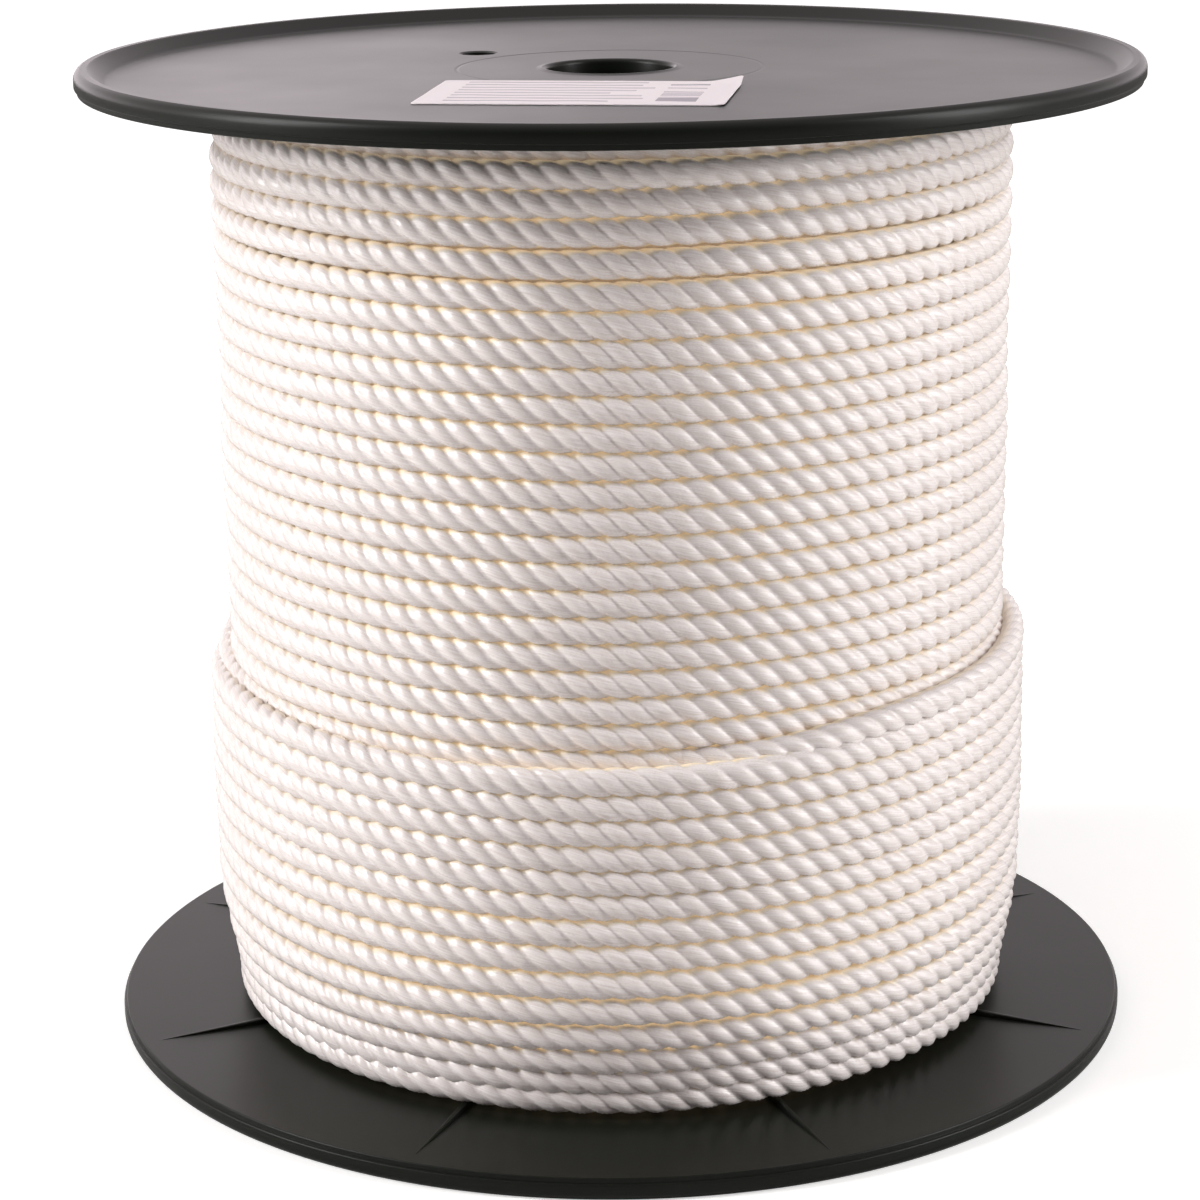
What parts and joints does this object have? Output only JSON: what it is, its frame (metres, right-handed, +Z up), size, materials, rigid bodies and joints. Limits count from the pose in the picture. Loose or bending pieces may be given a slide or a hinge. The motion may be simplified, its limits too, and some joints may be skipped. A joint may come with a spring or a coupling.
{
  "type": "rope reel",
  "caption": "Moulded plastic reel wound with white twisted rope, standing on its lower flange, with an arbor bore through its flanges for a spindle.",
  "frame": {"origin": "on the reel's axis, in the plane that the lower rim rests on", "axes": "+Z up along the reel's axis, from the lower flange to the upper flange; the label lies on the upper flange towards -Y"},
  "size_m": [0.267, 0.267, 0.2506],
  "materials": {
    "flange_plastic": "moulded, satin",
    "barrel_plastic": "moulded, matt",
    "label_paper": "uncoated white sticker",
    "rope": "bright white nylon filament, three strands, right-hand lay"
  },
  "bodies": {
    "root": {"upper_flange": "flange_plastic", "lower_flange": "flange_plastic", "barrel": "barrel_plastic", "label": "label_paper", "rope_layer_1": "rope", "rope_layer_2": "rope", "rope_layer_3": "rope", "rope_layer_4": "rope", "rope_layer_5": "rope", "rope_layer_6": "rope", "rope_layer_7": "rope", "rope_layer_8": "rope", "rope_layer_9": "rope", "rope_layer_10": "rope", "rope_layer_11": "rope", "rope_part_layer": "rope"}
  },
  "joints": []
}
